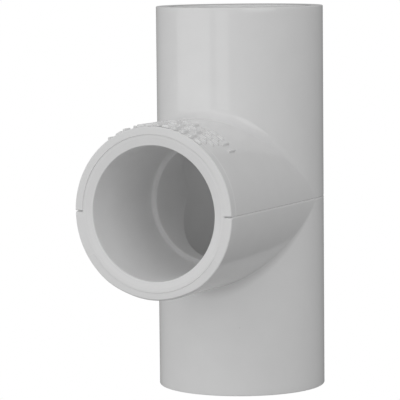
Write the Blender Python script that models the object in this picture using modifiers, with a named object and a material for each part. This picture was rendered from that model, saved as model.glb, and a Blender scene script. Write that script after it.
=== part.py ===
"""Slip x slip x slip PVC tee for half-inch Schedule 40 pipe, modelled as the one moulding it really is.

The tee stands on the lower rim of its run. +Z is the run's axis, the branch points along -Y, and the
origin is the middle of the bounding box's floor.
"""

import math

import bmesh
import bpy
from mathutils import Matrix, Vector

MM = 0.001

# Outside of the hubs
HUB_RADIUS = 13.9 * MM
RUN_LENGTH = 63.5 * MM
BRANCH_REACH = 32.0 * MM  # from the run's axis to the branch's end face
RIM_ROUNDING = 0.18 * MM
CROTCH_RADIUS = 2.0 * MM  # fillet between run and branch, fading to nothing at the two sides

# Sockets for the pipe, tapered so that the pipe wedges near the stop
SOCKET_MOUTH_RADIUS = 10.75 * MM
SOCKET_STOP_RADIUS = 10.6 * MM
MOUTH_ROUNDING = 0.15 * MM
STOP_FROM_CENTRE = 12.0 * MM
STOP_ROUNDING = 0.25 * MM

# Waterways between the sockets. The branch's is a little smaller, so that it opens inside the run's.
RUN_WATERWAY_RADIUS = 9.6 * MM
BRANCH_WATERWAY_RADIUS = 9.5 * MM

# The upper mould half leaves its outer band of the branch's end face slightly proud
BAND_INNER_RADIUS = 12.5 * MM
BAND_HEIGHT = 0.15 * MM

# Raised moulding marks on top of the branch: rows of plain bars, dashes, pairs of dashes and dots,
# centred on its top line
MARK_ROWS = ("|-|.==|=|||=", "=|.|-||-|=|==", "||-|=.|=|-|.==||")
FIRST_ROW_FROM_END = 1.5 * MM
ROW_PITCH = 3.1 * MM
MARK_ANGLE_PITCH = math.radians(6.2)
MARK_HEIGHT = 0.3 * MM
MARK_WIDTH = 0.45 * MM
BAR_LENGTH = 2.2 * MM
DASH_LENGTH = 1.25 * MM
MARK_CHAMFER = 0.1 * MM

# Around every round face. A multiple of 4, so that the facets of run and branch meet at shared points
SEGMENTS = 72
CROTCH_STEPS = 4
ROUNDING_STEPS = 2
OVERLAP = 1.0 * MM  # how far cutters run past a face
SINK = 0.4 * MM  # how far added shapes reach into the wall
TOUCHING = 0.001 * MM  # closer than this counts as the same place

RUN_AXIS_Y = (BRANCH_REACH + BAND_HEIGHT - HUB_RADIUS) / 2
BRANCH_AXIS_Z = RUN_LENGTH / 2
CROSSING = Vector((0.0, RUN_AXIS_Y, BRANCH_AXIS_Z))  # where the two axes meet
ALONG_BRANCH = (math.pi / 2, 0.0, 0.0)  # turns local Z to -Y


def clear_scene():
    for thing in list(bpy.data.objects):
        bpy.data.objects.remove(thing, do_unlink=True)


def new_collection(name):
    collection = bpy.data.collections.new(name)
    bpy.context.scene.collection.children.link(collection)
    return collection


def add_object(name, collection, mesh_maker):
    """A new mesh object whose mesh is filled in by mesh_maker(bm), around the crossing of the two axes."""
    mesh = bpy.data.meshes.new(name)
    bm = bmesh.new()
    mesh_maker(bm)
    bm.to_mesh(mesh)
    bm.free()
    thing = bpy.data.objects.new(name, mesh)
    collection.objects.link(thing)
    return thing


def boolean(target, tool, operation):
    modifier = target.modifiers.new(f"{operation.lower()} {tool.name}", "BOOLEAN")
    modifier.operation = operation
    modifier.solver = "EXACT"
    modifier.object = tool


def apply_modifiers(thing):
    """Replaces the object's mesh with its evaluated one, and drops the modifiers."""
    evaluated = thing.evaluated_get(bpy.context.evaluated_depsgraph_get())
    finished = bpy.data.meshes.new_from_object(evaluated)
    thing.modifiers.clear()
    thing.data = finished


def rounded_corner(corner, start_direction, end_direction, radius):
    """Points of a quarter-round at a right-angled corner, as (radius, height) pairs."""
    start = Vector(start_direction)
    end = Vector(end_direction)
    centre = Vector(corner) + (start + end) * radius
    points = []
    for step in range(ROUNDING_STEPS + 1):
        turn = math.pi / 2 * step / ROUNDING_STEPS
        points.append(tuple(centre - end * radius * math.cos(turn) - start * radius * math.sin(turn)))
    return points


def turned(name, collection, profile, closed=False):
    """A solid turned about local Z from (radius, height) points that run down its outer side."""
    mesh = bpy.data.meshes.new(name)
    points = [(radius, 0.0, height) for radius, height in profile]
    edges = [(index, index + 1) for index in range(len(points) - 1)]
    if closed:
        edges.append((len(points) - 1, 0))
    mesh.from_pydata(points, edges, [])
    thing = bpy.data.objects.new(name, mesh)
    collection.objects.link(thing)
    screw = thing.modifiers.new("turn", "SCREW")
    screw.steps = SEGMENTS
    screw.render_steps = SEGMENTS
    screw.use_merge_vertices = True
    screw.merge_threshold = TOUCHING
    return thing


def add_round_bar(bm, start, end, rounded_ends):
    """A solid bar of the hubs' radius along Z, its edge rounded at each height in rounded_ends."""
    bmesh.ops.create_cone(
        bm,
        cap_ends=True,
        segments=SEGMENTS,
        radius1=HUB_RADIUS,
        radius2=HUB_RADIUS,
        depth=end - start,
        matrix=Matrix.Translation((0.0, 0.0, (start + end) / 2)),
    )
    for height in rounded_ends:
        rim = [edge for edge in bm.edges if all(abs(vert.co.z - height) < TOUCHING for vert in edge.verts)]
        bmesh.ops.bevel(
            bm, geom=rim, offset=RIM_ROUNDING, segments=ROUNDING_STEPS, profile=0.5, affect="EDGES"
        )


def make_run_blank(bm):
    half = RUN_LENGTH / 2
    add_round_bar(bm, -half, half, (-half, half))


def make_branch_blank(bm):
    add_round_bar(bm, 0.0, BRANCH_REACH, (BRANCH_REACH,))
    to_branch = Matrix.Rotation(ALONG_BRANCH[0], 3, "X")
    bmesh.ops.rotate(bm, verts=bm.verts, cent=(0.0, 0.0, 0.0), matrix=to_branch)


def fillet_crotch(body):
    """Weighs the edges where run and branch cross, and rounds them with one Bevel.

    Both hubs have the same radius, so the crossing lies where y = -|z|, and the fillet
    shrinks with the distance from the middle plane until it vanishes at the sides.
    """
    weights = body.data.attributes.new("bevel_weight_edge", "FLOAT", "EDGE")
    verts = body.data.vertices
    for edge in body.data.edges:
        ends = [verts[index].co for index in edge.vertices]
        if any(abs(end.y + abs(end.z)) > TOUCHING for end in ends):
            continue
        sideways = abs(ends[0].x + ends[1].x) / 2 / HUB_RADIUS
        depth = math.sqrt(1.0 - sideways**2)
        weights.data[edge.index].value = depth / math.sqrt(1.0 + sideways**2)
    bevel = body.modifiers.new("crotch fillet", "BEVEL")
    bevel.limit_method = "WEIGHT"
    bevel.offset_type = "OFFSET"
    bevel.width = CROTCH_RADIUS
    bevel.segments = CROTCH_STEPS
    bevel.use_clamp_overlap = False


def socket_profile(end):
    """(radius, height) points of one socket's wall, from past its mouth down to the stop."""
    mouth = rounded_corner((SOCKET_MOUTH_RADIUS, end), (1.0, 0.0), (0.0, -1.0), MOUTH_ROUNDING)
    stop = rounded_corner((SOCKET_STOP_RADIUS, STOP_FROM_CENTRE), (0.0, 1.0), (-1.0, 0.0), STOP_ROUNDING)
    past_mouth = (SOCKET_MOUTH_RADIUS + MOUTH_ROUNDING, end + OVERLAP)
    return [past_mouth] + mouth + stop


def run_bore_profile():
    half = socket_profile(RUN_LENGTH / 2) + [(RUN_WATERWAY_RADIUS, STOP_FROM_CENTRE)]
    top = [(0.0, RUN_LENGTH / 2 + OVERLAP)]
    other_half = [(radius, -height) for radius, height in reversed(half)]
    bottom = [(0.0, -RUN_LENGTH / 2 - OVERLAP)]
    return top + half + other_half + bottom


def branch_bore_profile():
    wall = socket_profile(BRANCH_REACH) + [
        (BRANCH_WATERWAY_RADIUS, STOP_FROM_CENTRE),
        (BRANCH_WATERWAY_RADIUS, 0.0),
    ]
    return [(0.0, BRANCH_REACH + OVERLAP)] + wall + [(0.0, 0.0)]


def make_upper_half(bm):
    """A block that holds everything above the branch's axis."""
    size = 4 * HUB_RADIUS
    lift = Matrix.Translation((0.0, -BRANCH_REACH, size / 2))
    bmesh.ops.create_cube(bm, size=size, matrix=lift)


def proud_band(collection):
    """The thin half-ring on the branch's end face: a turned ring, kept above the branch's axis."""
    start = BRANCH_REACH - SINK
    end = BRANCH_REACH + BAND_HEIGHT
    outer = HUB_RADIUS - RIM_ROUNDING
    section = [(outer, end), (outer, start), (BAND_INNER_RADIUS, start), (BAND_INNER_RADIUS, end)]
    band = turned("proud_band", collection, section, closed=True)
    band.rotation_euler = ALONG_BRANCH
    boolean(band, add_object("upper_half", collection, make_upper_half), "INTERSECT")
    return band


def add_mark(bm, angle, from_end, width, length):
    """One block on top of the branch, standing proud of its surface and sunk into the wall below."""
    scale = Matrix.Diagonal((width, length, MARK_HEIGHT + SINK, 1.0))
    lift = Matrix.Translation((0.0, from_end - BRANCH_REACH, HUB_RADIUS + (MARK_HEIGHT - SINK) / 2))
    around = Matrix.Rotation(angle, 4, "Y")
    bmesh.ops.create_cube(bm, size=1.0, matrix=around @ lift @ scale)


def mark_shapes(mark):
    """(offset along the branch, width, length) of each raised shape of a mark."""
    to_end = (BAR_LENGTH - MARK_WIDTH) / 2
    shapes = {
        "|": ((0.0, MARK_WIDTH, BAR_LENGTH),),
        "-": ((0.0, DASH_LENGTH, MARK_WIDTH),),
        ".": ((0.0, MARK_WIDTH, MARK_WIDTH),),
        "=": ((-to_end, DASH_LENGTH, MARK_WIDTH), (to_end, DASH_LENGTH, MARK_WIDTH)),
    }
    return shapes[mark]


def make_marks(bm):
    for row_index, row in enumerate(MARK_ROWS):
        from_end = FIRST_ROW_FROM_END + ROW_PITCH * row_index
        for mark_index, mark in enumerate(row):
            angle = MARK_ANGLE_PITCH * (mark_index - (len(row) - 1) / 2)
            for offset, width, length in mark_shapes(mark):
                add_mark(bm, angle, from_end + offset, width, length)


def moulding_marks(collection):
    marks = add_object("moulding_marks", collection, make_marks)
    chamfer = marks.modifiers.new("chamfer", "BEVEL")
    chamfer.width = MARK_CHAMFER
    chamfer.segments = 1
    return marks


def white_pvc():
    material = bpy.data.materials.new("white_pvc")
    material.use_nodes = True
    shader = material.node_tree.nodes["Principled BSDF"]
    shader.inputs["Base Color"].default_value = (0.8, 0.8, 0.8, 1.0)
    shader.inputs["Roughness"].default_value = 0.35
    shader.inputs["Metallic"].default_value = 0.0
    return material


def make_tee_body(parts, guides):
    body = add_object("tee_body", parts, make_run_blank)
    branch = add_object("branch_blank", guides, make_branch_blank)
    boolean(body, branch, "UNION")
    apply_modifiers(body)
    fillet_crotch(body)

    run_bore = turned("run_bore", guides, run_bore_profile())
    branch_bore = turned("branch_bore", guides, branch_bore_profile())
    branch_bore.rotation_euler = ALONG_BRANCH
    boolean(body, run_bore, "DIFFERENCE")
    boolean(body, branch_bore, "DIFFERENCE")
    boolean(body, proud_band(guides), "UNION")
    boolean(body, moulding_marks(guides), "UNION")
    weld = body.modifiers.new("weld", "WELD")
    weld.merge_threshold = TOUCHING
    apply_modifiers(body)

    body.data.transform(Matrix.Translation(CROSSING))
    body.data.shade_smooth()
    body.data.set_sharp_from_angle(angle=math.radians(30))
    body.data.materials.clear()
    body.data.materials.append(white_pvc())


clear_scene()
guides = new_collection("guides")
make_tee_body(new_collection("pvc_tee"), guides)
for guide in guides.objects:
    guide.hide_render = True
    guide.display_type = "WIRE"
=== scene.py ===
"""Looks of the white PVC tee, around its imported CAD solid.

The real tee is one moulding, so one continuous, finely divided skin replaces the faceted CAD node. It is
worked out in millimetres around the crossing of the run's axis (Z) and the branch's axis (-Y), as rings
and strips that share their edges, and welded into one closed mesh. The raised moulding marks are small
closed solids, sunk a little into it.
"""

import math

import bmesh
import bpy
import numpy as np
from mathutils import Matrix, Vector


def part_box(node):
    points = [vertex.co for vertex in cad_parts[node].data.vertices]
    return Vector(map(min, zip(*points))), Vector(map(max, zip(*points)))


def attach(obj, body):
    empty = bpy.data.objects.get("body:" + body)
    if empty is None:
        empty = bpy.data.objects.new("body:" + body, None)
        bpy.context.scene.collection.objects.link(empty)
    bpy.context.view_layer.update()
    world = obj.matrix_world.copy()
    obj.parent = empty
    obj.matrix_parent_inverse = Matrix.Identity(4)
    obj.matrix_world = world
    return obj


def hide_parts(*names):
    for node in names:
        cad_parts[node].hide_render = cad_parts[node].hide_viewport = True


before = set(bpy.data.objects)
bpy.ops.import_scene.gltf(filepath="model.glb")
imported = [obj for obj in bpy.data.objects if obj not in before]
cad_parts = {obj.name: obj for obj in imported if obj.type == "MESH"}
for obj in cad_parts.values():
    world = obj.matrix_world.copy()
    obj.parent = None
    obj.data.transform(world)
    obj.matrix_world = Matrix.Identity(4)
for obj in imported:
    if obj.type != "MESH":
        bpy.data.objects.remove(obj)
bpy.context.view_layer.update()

MM = 0.001
NODE = "tee_body"

# The CAD's sizes that can't be read from its box, in millimetres
BAND_HEIGHT = 0.15  # how far the upper mould half's band stands proud of the branch's end face
CROTCH_ROUNDING = 2.0
MOUTH_RADIUS = 10.75
STOP_RADIUS = 10.6
STOP_REACH = 12.0
WATERWAY = 9.6
RIM_ROUNDING = 0.18
MOUTH_ROUNDING = 0.15
MARK_ROWS = ("|-|.==|=|||=", "=|.|-||-|=|==", "||-|=.|=|-|.==||")
FIRST_ROW_FROM_END = 1.5
ROW_PITCH = 3.1
MARK_ANGLE_PITCH = math.radians(6.2)
MARK_WIDTH = 0.45
BAR_LENGTH = 2.2
DASH_LENGTH = 1.25

# Read from the frame, in millimetres. Reaches are distances from the crossing of the two axes
node_low, node_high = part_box(NODE)
size = (node_high - node_low) / MM
HUB = size.x / 2
RUN_REACH = size.z / 2
BRANCH_REACH = size.y - HUB - BAND_HEIGHT
crossing = Vector((0.0, node_high.y - HUB * MM, (node_low.z + node_high.z) / 2))

# What only the fine skin shows, in millimetres
UPPER_MITRE_ROUNDING = 1.4  # where the waterways meet, fading to nothing at the sides
LOWER_MITRE_ROUNDING = 0.3
STOP_FILLET = 0.45
STOP_EDGE = 0.35
WATERWAY_DRAFT = 0.15  # how much wider a waterway is at its stop
SEAM_STEP = 0.02  # where the run's two core pins met, behind the branch
SEAM_WIDTH = 0.12
LOWER_RIM_ROUNDING = 0.35  # at the bottom of the branch's rim, where it is also longer than it is wide
LOWER_RIM_STRETCH = 3.0
LOWER_RIM_FADE = (0.8, 0.15)  # where it grows: start and length of the way down, as shares of the radius
WITNESS_RADIUS = 12.5  # edge of the branch core's mark on the end face
WITNESS_EDGE = 0.03
WORN_WITNESS_EDGE = 0.3  # on the upper half's +X side, where the band is worn down by BAND_WEAR
BAND_WEAR = 0.08
LOWER_BAND_DROP = 0.09  # how far the lower mould half's band lies below the core's, at its bottom
SIDE_DROP_SHARE = 0.15  # how much of that is left at its sides
LOWER_DROP_FADE = (0.3, 0.5)  # where it grows, as for the rim
DISH = 0.15  # how far the core's band falls towards the mouth
HUB_DRAFT = 0.08  # how much slimmer the branch is at its rim
LAND_WIDTH = 1.6  # shallow land next to the branch's upper rim
LAND_DEPTH = 0.06
LAND_SLOPE = 0.12
FLASH_HEIGHT = 0.015  # flash along the parting plane, with a crack under it
CRACK_DEPTH = 0.16
PARTING_WIDTH = 0.1
PARTING_OFFSET = 0.05  # from the parting plane to the middle of the flash, and of the crack
REAR_RELIEF_SHARE = 0.5  # how much of flash and crack is left behind the run
NOTCH_DEPTH = 0.5  # depth of the crack across the branch's end face
FLASH_TAB = 1.0  # length of the higher flash at the branch's rim
FLASH_TAB_SLOPE = 0.4

# A mark's side from under the skin to its top: how far it is grown, and its height over the hub
MARK_SIDES = (
    (0.08, -0.1),
    (0.08, 0.0),
    (0.03, 0.03),
    (0.01, 0.08),
    (-0.02, 0.2),
    (-0.05, 0.26),
    (-0.11, 0.3),
)

# How finely the skin is divided. Lengths in millimetres
COARSE_ANGLE = math.radians(1.5)
INNER_ANGLE = math.radians(2)
RIM_LENGTH = 2.2  # stretch of the branch with a ring every RIM_STEP
RIM_STEP = 0.11
RUN_RINGS = 24
BRANCH_RINGS = 24
WATERWAY_RINGS = 14
MITRE_RINGS = 8
SOCKET_RINGS = 12
FILLET_STEPS = 12
CORNER_STEPS = 5
BAND_RINGS = (0.04, 0.3, 0.6)  # shares of the way from a rim to its witness line
WITNESS_STEPS = 8
WITNESS_GUARD = 1.2  # where the rings next to the step lie, in half widths of the step
CORE_BAND_RINGS = 3
CORE_BAND_START = 0.1  # how far inside the step the first of them lies
NEAR_PARTING = (0.03, 0.06, 0.09, 0.12, 0.16, 0.21, 0.28, 0.4, 0.65, 1.0)
PAST_PARTING = 1.5  # height of the run's first ring beyond those next to the parting plane
PAST_SEAM = 0.5
GUARD = 0.03  # width of the narrow ring next to the mouth's rounding, which keeps its shading crisp
MARK_CORNER_POINTS = 6
SHARP_ANGLE = math.radians(50)
WELD = 0.002

# Moulded PVC. Patterns in cycles or cells per metre
PVC_IOR = 1.53
DARKER_PVC = (0.868, 0.868, 0.868, 1.0)
LIGHTER_PVC = (0.912, 0.912, 0.912, 1.0)
SPECK_COLOUR = (0.66, 0.65, 0.64, 1.0)
GLOSSIEST = 0.07
LEAST_GLOSSY = 0.11
DULLNESS = 0.23  # what the end faces and the inside add to the roughness
INSIDE_MARGIN = 0.2  # millimetres past the mouth's radius that still count as inside
FACE_MARGIN = 0.05  # millimetres behind an end face that still count as part of it
MOTTLE = 260.0
MOTTLE_DETAIL = 4.0
GRAIN = 3600.0
GRAIN_DETAIL = 2.0
GRAIN_HEIGHT = 0.004 * MM
WAVES = 120.0
WAVE_DETAIL = 1.0
WAVE_HEIGHT = 0.006 * MM
SPECK_CELLS = 700.0
SPECK_SHARE = 0.015  # share of the cells that hold a speck
SPECK_SIZE = 0.05  # in cells

# The studio
WHITE = (1.0, 1.0, 1.0, 1.0)
FLOOR_RADIUS = 3.0
FLOOR_GAP = 0.05 * MM  # keeps the floor and the lower rim apart
ROOM_LIGHT = 0.332  # from the sides; the gradient adds light from the front and above
ROOM_GRADIENT = (0.0, -0.11, 0.15)
PANEL_DISTANCE = 0.6
# Name, left and right azimuth, low and high elevation, radiance, whether reflections show it
UPRIGHT_PANELS = (
    ("panel_left", -69, -15, -5.7, 3, 0.67, True),
    ("panel_left_high", -69, -15, 3, 42, 0.5, True),
    ("panel_front", -6, 11, -5.7, 6, 0.6, True),
    ("panel_front_high", -15, 30, 25, 42, 0.2, True),
    ("panel_front_top", -15, 30, 42, 48, 1.4, True),
    ("panel_right", 30, 75, 5, 40, 1.17, True),
    ("panel_low_left", -75, -40, -50, -15, 0.88, False),
)

# The camera: a long lens from a little above the branch, turned off its axis
CAMERA_AZIMUTH = 25.67
CAMERA_ELEVATION = 5.69
CAMERA_DISTANCE = 0.42405
CAMERA_AIM = Vector((-6.12, -3.09, -0.772)) * MM  # from the crossing
CAMERA_ROLL = math.radians(-0.55)
SENSOR_WIDTH = 36.0
LENS = 227.25


class Skin:
    """Collects strips of quads, as arrays of points, until they are welded into one mesh."""

    def __init__(self):
        self.points = []
        self.faces = []
        self.count = 0

    def add_points(self, ring):
        first = self.count
        self.points.append(ring)
        self.count += len(ring)
        return first

    def strips(self, rings, closed=True):
        """Quads between each ring of points and the next. All rings have the same number of points."""
        firsts = [self.add_points(ring) for ring in rings]
        length = len(rings[0])
        here = np.arange(length if closed else length - 1)
        there = (here + 1) % length
        for first, second in zip(firsts, firsts[1:]):
            quads = np.stack([first + here, first + there, second + there, second + here], axis=1)
            self.faces.extend(quads.tolist())

    def zipper(self, ring, ring_angles, other, other_angles):
        """Triangles between two closed rings of different numbers of points, both in order of angle."""
        first = self.add_points(ring)
        second = self.add_points(other)
        i, j = 0, 0
        turns = np.append(ring_angles, ring_angles[0] + 2 * math.pi)
        other_turns = np.append(other_angles, other_angles[0] + 2 * math.pi)
        while i < len(ring) or j < len(other):
            here = first + i % len(ring)
            there = second + j % len(other)
            if j == len(other) or (i < len(ring) and turns[i + 1] <= other_turns[j + 1]):
                i += 1
                self.faces.append([here, first + i % len(ring), there])
            else:
                j += 1
                self.faces.append([here, second + j % len(other), there])

    def cap(self, ring):
        first = self.add_points(ring)
        self.faces.append(list(range(first, first + len(ring))))

    def to_object(self, name):
        """The strips welded into one mesh, in metres and around the crossing, as an object."""
        points = np.concatenate(self.points) * MM + np.array(crossing)
        mesh = bpy.data.meshes.new(name)
        mesh.from_pydata(points.tolist(), [], self.faces)
        bm = bmesh.new()
        bm.from_mesh(mesh)
        bmesh.ops.remove_doubles(bm, verts=bm.verts, dist=WELD * MM)
        bmesh.ops.dissolve_degenerate(bm, edges=bm.edges, dist=WELD * MM)
        bmesh.ops.recalc_face_normals(bm, faces=bm.faces)
        bm.to_mesh(mesh)
        bm.free()
        thing = bpy.data.objects.new(name, mesh)
        bpy.context.scene.collection.objects.link(thing)
        return thing


def smooth_step(x):
    x = np.clip(x, 0.0, 1.0)
    return x * x * (3 - 2 * x)


def half_circle():
    """Angles from -90 to 90 degrees, finer at both ends, next to the parting plane."""
    near_end = math.pi / 2 - math.asin(max(NEAR_PARTING) / HUB)
    side = list(np.linspace(0.0, near_end, math.ceil(near_end / COARSE_ANGLE) + 1)[:-1])
    side += [math.acos(height / HUB) for height in reversed(NEAR_PARTING)]
    side += [math.pi / 2]
    side = np.array(side)
    return np.concatenate([-side[:0:-1], side])


def on_run(side, radius, height, angles):
    """Points on the run's half above (side 1) or below (side -1) the branch. Angle 0 is in front."""
    radius = radius + np.zeros_like(angles)
    height = height + np.zeros_like(angles)
    return np.stack([radius * np.sin(angles), -radius * np.cos(angles), side * height], axis=1)


def on_branch(radius, height, angles):
    """Points around the branch, with heights from the run's axis. Angle 0 is on top."""
    radius = radius + np.zeros_like(angles)
    height = height + np.zeros_like(angles)
    return np.stack([radius * np.sin(angles), -height, radius * np.cos(angles)], axis=1)


def behind(angles):
    """0 in front of the run and at its sides, rising to 1 behind it."""
    return np.clip(-3 * np.cos(angles), 0.0, 1.0)


def above_parting(height):
    """0 up to the parting plane and 1 above it, with a short slope between."""
    return smooth_step(height / NEAR_PARTING[1])


def faded_down(angles, start, length):
    """0 down to a start below the branch's axis, and 1 from a length further down."""
    return smooth_step((-np.cos(angles) - start) / length)


def parting_relief(height, flash_height=FLASH_HEIGHT, crack_depth=CRACK_DEPTH):
    """Flash above the parting plane and a crack below it, at a height over that plane."""
    flash = np.exp(-(((height - PARTING_OFFSET) / PARTING_WIDTH) ** 2))
    crack = np.exp(-(((height + PARTING_OFFSET) / PARTING_WIDTH) ** 2))
    return flash_height * flash - crack_depth * crack


def add_run_half(skin, side, angles, hub, rounding, levels, radius_at):
    """One half of a tube around the run's axis, from where it meets the branch's equal tube."""
    start = (hub + rounding) * np.clip(np.cos(angles), 0.0, None)
    rings = []
    for level in levels:
        share = level / levels[-1]
        height = start + share * (levels[-1] - start)
        rings.append(on_run(side, radius_at(height, share), height, angles))
    skin.strips(rings)


def add_crossing_round(skin, side, angles, hub, rounding, relief):
    """The rounded corner between the two tubes, round in each slice parallel to the middle plane."""
    width = hub * np.sin(angles)
    depth = hub * np.cos(angles)
    radius = rounding * np.cos(angles)
    strips = []
    for turn in np.linspace(0.0, math.pi / 2, FILLET_STEPS + 1):
        forward = -depth - radius + radius * math.cos(turn)
        height = side * (depth + radius - radius * math.sin(turn))
        strips.append(np.stack([width + relief(height) * np.sign(width), forward, height], axis=1))
    skin.strips(strips, closed=False)


def mark_places():
    """Each moulding mark's angle, distance from the branch's end, width and length."""
    ends = (BAR_LENGTH - MARK_WIDTH) / 2
    for row_index, row in enumerate(MARK_ROWS):
        from_end = FIRST_ROW_FROM_END + ROW_PITCH * row_index
        for mark_index, mark in enumerate(row):
            angle = MARK_ANGLE_PITCH * (mark_index - (len(row) - 1) / 2)
            if mark == "|":
                yield angle, from_end, MARK_WIDTH, BAR_LENGTH
            elif mark == "-":
                yield angle, from_end, DASH_LENGTH, MARK_WIDTH
            elif mark == ".":
                yield angle, from_end, MARK_WIDTH, MARK_WIDTH
            elif mark == "=":
                yield angle, from_end - ends, DASH_LENGTH, MARK_WIDTH
                yield angle, from_end + ends, DASH_LENGTH, MARK_WIDTH


def mark_outline(width, length, grow):
    """A long mark's outline with round corners, grown by an amount, as (around, along) points."""
    radius = MARK_WIDTH / 2
    points = []
    for corner, (right, front) in enumerate(((1, 1), (-1, 1), (-1, -1), (1, -1))):
        for turn in np.linspace(0.0, math.pi / 2, MARK_CORNER_POINTS) + corner * math.pi / 2:
            around = right * (width / 2 - radius) + (radius + grow) * math.cos(turn)
            along = front * (length / 2 - radius) + (radius + grow) * math.sin(turn)
            points.append((around, along))
    return np.array(points)


def add_marks(skin):
    """Raised moulding marks: small closed solids, sunk a little into the branch."""
    for angle, from_end, width, length in mark_places():
        rings = []
        for grow, height in MARK_SIDES:
            outline = mark_outline(width, length, grow)
            angles = angle + outline[:, 0] / HUB
            rings.append(on_branch(HUB + height, BRANCH_REACH - from_end + outline[:, 1], angles))
        skin.strips(rings)
        skin.cap(rings[0])
        skin.cap(rings[-1])


def branch_relief(height, angles):
    """How far the branch's surface lies off its hub radius, at a height from the run's axis."""
    above = HUB * np.cos(angles)
    along = BRANCH_REACH - height
    straight = HUB + CROTCH_ROUNDING
    draft = HUB_DRAFT * np.clip((height - straight) / (BRANCH_REACH - straight), 0.0, 1.0)
    land = LAND_DEPTH * smooth_step((LAND_WIDTH - along) / LAND_SLOPE) * above_parting(above)
    tab = 1 + smooth_step((FLASH_TAB - along) / FLASH_TAB_SLOPE)
    return parting_relief(above, FLASH_HEIGHT * tab) - draft - land


def band_step(angles):
    """Height of the outer band of the branch's end face over the core's band."""
    above = WITNESS_RADIUS * np.cos(angles)
    upper = above_parting(above)
    height = BAND_HEIGHT - BAND_WEAR * wear(angles)
    bottom = faded_down(angles, *LOWER_DROP_FADE)
    drop = LOWER_BAND_DROP * (SIDE_DROP_SHARE + (1 - SIDE_DROP_SHARE) * bottom)
    return height * upper - drop * (1 - upper) + parting_relief(above, FLASH_HEIGHT, NOTCH_DEPTH)


def corner_round(size, first, last):
    """Offsets from a corner along its quarter-round, between two directions that lead away from it."""
    first = np.array(first)
    last = np.array(last)
    turns = np.linspace(0, math.pi / 2, CORNER_STEPS + 1)
    return [size * (first + last - math.cos(turn) * last - math.sin(turn) * first) for turn in turns]


def rounded(corner, size, first, last):
    """(radius, height) points of the quarter-round at a corner of the profile."""
    return [(corner[0] + off[0], corner[1] + off[1]) for off in corner_round(size, first, last)]


def socket_profile(reach):
    """(radius, height) points from the core's band down the socket to the top of the waterway."""
    edge = WITNESS_RADIUS - WORN_WITNESS_EDGE
    mouth = rounded((MOUTH_RADIUS, reach - DISH), MOUTH_ROUNDING, (1, 0), (0, -1))
    innermost = mouth[0][0]
    slope = DISH / (edge - innermost)
    band_radii = list(np.linspace(edge - CORE_BAND_START, innermost, CORE_BAND_RINGS + 1)[:-1])
    band_radii.append(innermost + GUARD)
    band = [(radius, reach - slope * (edge - radius)) for radius in band_radii]
    stop = rounded((STOP_RADIUS, STOP_REACH), STOP_FILLET, (0, 1), (-1, 0))
    lip = rounded((WATERWAY + WATERWAY_DRAFT, STOP_REACH), STOP_EDGE, (1, 0), (0, -1))
    wall = np.linspace(mouth[-1], stop[0], SOCKET_RINGS + 1)[1:-1]
    return band + mouth + [tuple(point) for point in wall] + stop + lip


def wear(angles):
    """How far the band of the branch's end face is worn down: fully at +X in the upper half."""
    return smooth_step(2 * np.sin(angles) - 1) * (np.cos(angles) > 0)


def witness_edge(angles):
    """Half width of the step at the witness line: crisp, but a slope where the band is worn."""
    return WITNESS_EDGE + (WORN_WITNESS_EDGE - WITNESS_EDGE) * wear(angles)


def add_mouth(skin, place, reach, outer_angles, outer_radius, rounding, step, edge, inner_angles):
    """One rim, end face and socket, down to the stop. place(radius, height, angles) gives points.

    rounding is the rim's, across and along. step is the height of the outer band over the core's band,
    and edge is half the width of the slope between them.
    """
    rings = []
    across, along = rounding
    for off in corner_round(1.0, (0, -1), (-1, 0)):
        rings.append(place(outer_radius + across * off[0], reach + step + along * off[1], outer_angles))
    for share in BAND_RINGS:
        radius = outer_radius - across
        radius = radius + share * (WITNESS_RADIUS + edge - radius)
        rings.append(place(radius, reach + step, outer_angles))
    for share in (WITNESS_GUARD, *np.linspace(1, -1, WITNESS_STEPS + 1), -WITNESS_GUARD):
        height = reach + step * smooth_step((share + 1) / 2)
        rings.append(place(WITNESS_RADIUS + share * edge, height, outer_angles))
    skin.strips(rings)
    profile = socket_profile(reach)
    inside = [place(radius, height, inner_angles) for radius, height in profile]
    skin.zipper(rings[-1], outer_angles, inside[0], inner_angles)
    skin.strips(inside)


def rim_rounding(angles):
    """The branch rim's rounding, across its end face and along the branch: larger at the bottom."""
    lower = faded_down(angles, *LOWER_RIM_FADE)
    across = RIM_ROUNDING + (LOWER_RIM_ROUNDING - RIM_ROUNDING) * lower
    return across, across * (1 + (LOWER_RIM_STRETCH - 1) * lower)


def add_outside(skin, side_angles, rear):
    """Run and branch, and the fillet between them. Returns the branch's angles and its rim's radii."""
    end = RUN_REACH - RIM_ROUNDING
    levels = [0.0, *NEAR_PARTING, *np.linspace(PAST_PARTING, end, RUN_RINGS)]
    angles = np.concatenate([side_angles, rear])
    fade = 1 - (1 - REAR_RELIEF_SHARE) * behind(angles)
    for side in (1, -1):

        def run_radius(height, share, side=side):
            return HUB + fade * parting_relief(side * height)

        add_run_half(skin, side, angles, HUB, CROTCH_ROUNDING, levels, run_radius)
        add_crossing_round(skin, side, side_angles, HUB, CROTCH_ROUNDING, parting_relief)

    angles = np.concatenate([side_angles, math.pi + side_angles[1:-1]])
    start = np.abs(np.cos(angles)) * (HUB + CROTCH_ROUNDING)
    end = BRANCH_REACH + band_step(angles) - rim_rounding(angles)[1]
    near_rim = BRANCH_REACH - RIM_LENGTH
    to_rim = np.linspace(0, 1, BRANCH_RINGS)[:-1]
    at_rim = np.linspace(0, 1, round(RIM_LENGTH / RIM_STEP) + 1)
    heights = [start + share * (near_rim - start) for share in to_rim]
    heights += [near_rim + share * (end - near_rim) for share in at_rim]
    skin.strips([on_branch(HUB + branch_relief(height, angles), height, angles) for height in heights])
    return angles, HUB + branch_relief(end, angles)


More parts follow.
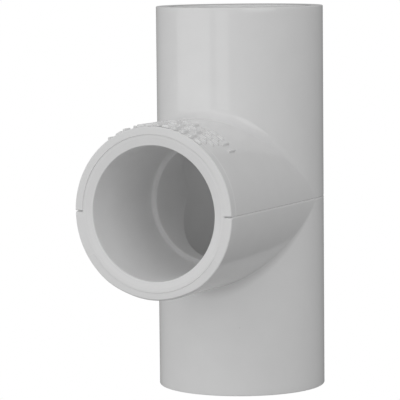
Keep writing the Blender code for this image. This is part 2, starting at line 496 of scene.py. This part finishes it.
def add_waterways(skin, side_angles, rear):
    """The two waterways, and the mitre where they meet. Returns the run's and the branch's angles."""
    end = STOP_REACH - STOP_EDGE
    levels = [0.0, SEAM_WIDTH / 2, SEAM_WIDTH, *np.linspace(PAST_SEAM, end, WATERWAY_RINGS)]
    angles = np.concatenate([side_angles, rear])
    for side in (1, -1):
        seam = SEAM_STEP * behind(angles) if side < 0 else 0.0
        rounding = UPPER_MITRE_ROUNDING if side > 0 else LOWER_MITRE_ROUNDING

        def run_radius(height, share, seam=seam):
            seam_here = seam * (1 - share) * smooth_step(height / SEAM_WIDTH)
            return WATERWAY + WATERWAY_DRAFT * share + seam_here

        add_run_half(skin, side, angles, WATERWAY, rounding, levels, run_radius)
        add_crossing_round(skin, side, side_angles, WATERWAY, rounding, np.zeros_like)

    branch = np.concatenate([side_angles, math.pi + side_angles[1:-1]])
    rounding = np.where(np.cos(branch) > 0, UPPER_MITRE_ROUNDING, LOWER_MITRE_ROUNDING)
    start = np.abs(np.cos(branch)) * (WATERWAY + rounding)
    rings = []
    for share in np.linspace(0, 1, MITRE_RINGS):
        rings.append(on_branch(WATERWAY + WATERWAY_DRAFT * share, start + share * (end - start), branch))
    skin.strips(rings)
    return angles, branch


def build_tee():
    """The whole tee as one object."""
    skin = Skin()
    side_angles = half_circle()
    rear = np.linspace(math.pi / 2, math.pi * 3 / 2, round(math.pi / COARSE_ANGLE) + 1)[1:-1]
    branch_angles, rim_radius = add_outside(skin, side_angles, rear)

    inner_side = np.linspace(-math.pi / 2, math.pi / 2, round(math.pi / INNER_ANGLE) + 1)
    inner_rear = math.pi + inner_side[1:-1]
    run_inner, branch_inner = add_waterways(skin, inner_side, inner_rear)

    outer = np.concatenate([side_angles, rear])
    for side in (1, -1):

        def place(radius, height, angles, side=side):
            return on_run(side, radius, height, angles)

        rounding = (RIM_ROUNDING, RIM_ROUNDING)
        add_mouth(skin, place, RUN_REACH, outer, HUB, rounding, 0.0, WITNESS_EDGE, run_inner)
    rounding = rim_rounding(branch_angles)
    step = band_step(branch_angles)
    edge = witness_edge(branch_angles)
    add_mouth(
        skin, on_branch, BRANCH_REACH, branch_angles, rim_radius, rounding, step, edge, branch_inner
    )
    add_marks(skin)

    tee = skin.to_object("tee_moulding")
    tee.data.shade_smooth()
    tee.data.set_sharp_from_angle(angle=SHARP_ANGLE)
    return tee


def mark_dull_parts(tee):
    """A point attribute: 1 on the end faces and inside, where the moulding is duller, and 0 outside."""
    count = len(tee.data.vertices)
    points = np.empty(3 * count)
    tee.data.vertices.foreach_get("co", points)
    x, y, z = (points.reshape(count, 3) - np.array(crossing)).T / MM
    inside_run = np.hypot(x, y) < MOUTH_RADIUS + INSIDE_MARGIN
    inside_branch = (np.hypot(x, z) < MOUTH_RADIUS + INSIDE_MARGIN) & (y < 0)
    end_face = (np.abs(z) > RUN_REACH - FACE_MARGIN) | (y < FACE_MARGIN - BRANCH_REACH)
    dull = tee.data.attributes.new("dull", "FLOAT", "POINT")
    dull.data.foreach_set("value", (inside_run | inside_branch | end_face).astype(np.float32))


def varied(tree, source, low, high):
    """A map-range node that turns a 0-1 output into a value between low and high."""
    node = tree.nodes.new("ShaderNodeMapRange")
    node.inputs["To Min"].default_value = low
    node.inputs["To Max"].default_value = high
    tree.links.new(source, node.inputs["Value"])
    return node.outputs["Result"]


def noise(tree, place, per_metre, detail):
    """A smooth 0-1 noise."""
    node = tree.nodes.new("ShaderNodeTexNoise")
    node.inputs["Scale"].default_value = per_metre
    node.inputs["Detail"].default_value = detail
    tree.links.new(place, node.inputs["Vector"])
    return node.outputs["Fac"]


def combined(tree, operation, first, second):
    """A maths node on two outputs, or on an output and a number."""
    node = tree.nodes.new("ShaderNodeMath")
    node.operation = operation
    for socket, source in zip(node.inputs, (first, second)):
        if isinstance(source, float):
            socket.default_value = source
        else:
            tree.links.new(source, socket)
    return node.outputs["Value"]


def specks(tree, place):
    """1 on a few tiny specks of dirt, 0 elsewhere: the middles of the rarest cells of a cell pattern."""
    cells = tree.nodes.new("ShaderNodeTexVoronoi")
    cells.inputs["Scale"].default_value = SPECK_CELLS
    tree.links.new(place, cells.inputs["Vector"])
    rarity = tree.nodes.new("ShaderNodeSeparateColor")
    tree.links.new(cells.outputs["Color"], rarity.inputs["Color"])
    rare = combined(tree, "LESS_THAN", rarity.outputs["Red"], SPECK_SHARE)
    small = combined(tree, "LESS_THAN", cells.outputs["Distance"], SPECK_SIZE)
    return combined(tree, "MULTIPLY", rare, small)


def bumps(tree, height, distance, normal=None):
    """The normal of a bump of a 0-1 height that stands a distance high."""
    node = tree.nodes.new("ShaderNodeBump")
    node.inputs["Distance"].default_value = distance
    tree.links.new(height, node.inputs["Height"])
    if normal:
        tree.links.new(normal, node.inputs["Normal"])
    return node.outputs["Normal"]


def mixed(tree, share, first, second):
    """A colour that goes from the first to the second with a 0-1 output. The first may be an output."""
    node = tree.nodes.new("ShaderNodeMix")
    node.data_type = "RGBA"
    node.inputs["B"].default_value = second
    tree.links.new(share, node.inputs["Factor"])
    if isinstance(first, tuple):
        node.inputs["A"].default_value = first
    else:
        tree.links.new(first, node.inputs["A"])
    return node.outputs["Result"]


def moulded_pvc():
    """White PVC: semi-gloss, faintly mottled, with a fine grain, slow waves and a few dirt specks."""
    material = bpy.data.materials.new("moulded_pvc")
    material.use_nodes = True
    tree = material.node_tree
    shader = tree.nodes["Principled BSDF"]
    shader.inputs["IOR"].default_value = PVC_IOR
    place = tree.nodes.new("ShaderNodeTexCoord").outputs["Object"]
    mottle = noise(tree, place, MOTTLE, MOTTLE_DETAIL)
    grain = noise(tree, place, GRAIN, GRAIN_DETAIL)
    waves = noise(tree, place, WAVES, WAVE_DETAIL)

    clean = mixed(tree, mottle, DARKER_PVC, LIGHTER_PVC)
    speckled = mixed(tree, specks(tree, place), clean, SPECK_COLOUR)
    tree.links.new(speckled, shader.inputs["Base Color"])

    dull = tree.nodes.new("ShaderNodeAttribute")
    dull.attribute_name = "dull"
    gloss = varied(tree, mottle, GLOSSIEST, LEAST_GLOSSY)
    roughness = combined(tree, "ADD", gloss, varied(tree, dull.outputs["Fac"], 0.0, DULLNESS))
    tree.links.new(roughness, shader.inputs["Roughness"])
    wavy = bumps(tree, waves, WAVE_HEIGHT)
    tree.links.new(bumps(tree, grain, GRAIN_HEIGHT, wavy), shader.inputs["Normal"])
    return material


def floor_white():
    """Plain white floor, as bright as the backdrop from above, and clear from below."""
    material = bpy.data.materials.new("floor_white")
    material.use_nodes = True
    tree = material.node_tree
    glow = tree.nodes.new("ShaderNodeEmission")
    glow.inputs["Color"].default_value = WHITE
    glow.inputs["Strength"].default_value = 1.0
    side = tree.nodes.new("ShaderNodeNewGeometry")
    clear = tree.nodes.new("ShaderNodeBsdfTransparent")
    one_sided = tree.nodes.new("ShaderNodeMixShader")
    tree.links.new(side.outputs["Backfacing"], one_sided.inputs["Fac"])
    tree.links.new(glow.outputs["Emission"], one_sided.inputs[1])
    tree.links.new(clear.outputs["BSDF"], one_sided.inputs[2])
    tree.links.new(one_sided.outputs["Shader"], tree.nodes["Material Output"].inputs["Surface"])
    tree.nodes.remove(tree.nodes["Principled BSDF"])
    return material


def make_stage():
    """A round white floor. It is seen by the camera only, and takes no part in the lighting."""
    mesh = bpy.data.meshes.new("floor")
    bm = bmesh.new()
    bmesh.ops.create_circle(bm, cap_ends=True, segments=64, radius=FLOOR_RADIUS)
    bm.to_mesh(mesh)
    bm.free()
    floor = bpy.data.objects.new("floor", mesh)
    floor.location = (crossing.x, crossing.y, node_low.z - FLOOR_GAP)
    floor.data.materials.append(floor_white())
    floor.visible_diffuse = False
    floor.visible_glossy = False
    floor.visible_transmission = False
    floor.visible_shadow = False
    bpy.context.scene.collection.objects.link(floor)


def backdrop_world():
    """White to the camera, and a soft room light to everything else."""
    world = bpy.data.worlds.new("studio")
    world.use_nodes = True
    tree = world.node_tree
    ambient = tree.nodes["Background"]
    ambient.inputs["Color"].default_value = WHITE
    place = tree.nodes.new("ShaderNodeTexCoord")
    tilt = tree.nodes.new("ShaderNodeVectorMath")
    tilt.operation = "DOT_PRODUCT"
    tilt.inputs[1].default_value = ROOM_GRADIENT
    strength = tree.nodes.new("ShaderNodeMath")
    strength.operation = "ADD"
    strength.inputs[1].default_value = ROOM_LIGHT
    tree.links.new(place.outputs["Generated"], tilt.inputs[0])
    tree.links.new(tilt.outputs["Value"], strength.inputs[0])
    tree.links.new(strength.outputs["Value"], ambient.inputs["Strength"])
    seen = tree.nodes.new("ShaderNodeBackground")
    seen.inputs["Color"].default_value = WHITE
    seen.inputs["Strength"].default_value = 1.0
    path = tree.nodes.new("ShaderNodeLightPath")
    mix = tree.nodes.new("ShaderNodeMixShader")
    tree.links.new(path.outputs["Is Camera Ray"], mix.inputs["Fac"])
    tree.links.new(ambient.outputs["Background"], mix.inputs[1])
    tree.links.new(seen.outputs["Background"], mix.inputs[2])
    tree.links.new(mix.outputs["Shader"], tree.nodes["World Output"].inputs["Surface"])
    bpy.context.scene.world = world


def direction(azimuth, elevation):
    """Unit vector from the tee towards an azimuth (0 is -Y, 90 is +X) and elevation, in degrees."""
    turn, rise = math.radians(azimuth), math.radians(elevation)
    return Vector((math.sin(turn) * math.cos(rise), -math.cos(turn) * math.cos(rise), math.sin(rise)))


def add_panel(name, location, towards, width, height, radiance, reflected):
    """A soft white panel, hidden from the camera. Its radiance is what a mirror at the tee would show."""
    light = bpy.data.lights.new(name, "AREA")
    light.shape = "RECTANGLE"
    light.size = width
    light.size_y = height
    light.energy = radiance * math.pi * width * height
    panel = bpy.data.objects.new(name, light)
    panel.location = crossing + location
    panel.rotation_euler = towards.to_track_quat("-Z", "Y").to_euler()
    panel.visible_camera = False
    panel.visible_glossy = reflected
    bpy.context.scene.collection.objects.link(panel)


def add_upright_panel(name, left, right, low, high, radiance, reflected):
    """An upright panel over a range of azimuths and elevations in degrees, seen from the crossing."""
    outwards = direction((left + right) / 2, 0)
    width = 2 * PANEL_DISTANCE * math.tan(math.radians(right - left) / 2)
    bottom = PANEL_DISTANCE * math.tan(math.radians(low))
    top = PANEL_DISTANCE * math.tan(math.radians(high))
    middle = outwards * PANEL_DISTANCE + Vector((0, 0, (bottom + top) / 2))
    add_panel(name, middle, -outwards, width, top - bottom, radiance, reflected)


def make_lights():
    for panel in UPRIGHT_PANELS:
        add_upright_panel(*panel)


def make_camera():
    """The photograph's view."""
    camera = bpy.data.cameras.new("camera")
    camera.sensor_width = SENSOR_WIDTH
    camera.lens = LENS
    camera.dof.use_dof = False
    camera.clip_start = 0.01
    camera.clip_end = 20.0
    view = bpy.data.objects.new("camera", camera)
    view.location = crossing + direction(CAMERA_AZIMUTH, CAMERA_ELEVATION) * CAMERA_DISTANCE
    look = (crossing + CAMERA_AIM - view.location).to_track_quat("-Z", "Y")
    roll = Matrix.Rotation(CAMERA_ROLL, 4, "Z")
    view.rotation_euler = (look.to_matrix().to_4x4() @ roll).to_euler()
    bpy.context.scene.collection.objects.link(view)
    bpy.context.scene.camera = view


make_camera()
tee = build_tee()
mark_dull_parts(tee)
tee.data.materials.append(moulded_pvc())
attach(tee, "root")
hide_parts(NODE)
make_stage()
backdrop_world()
make_lights()
bpy.context.scene.view_settings.view_transform = "Standard"
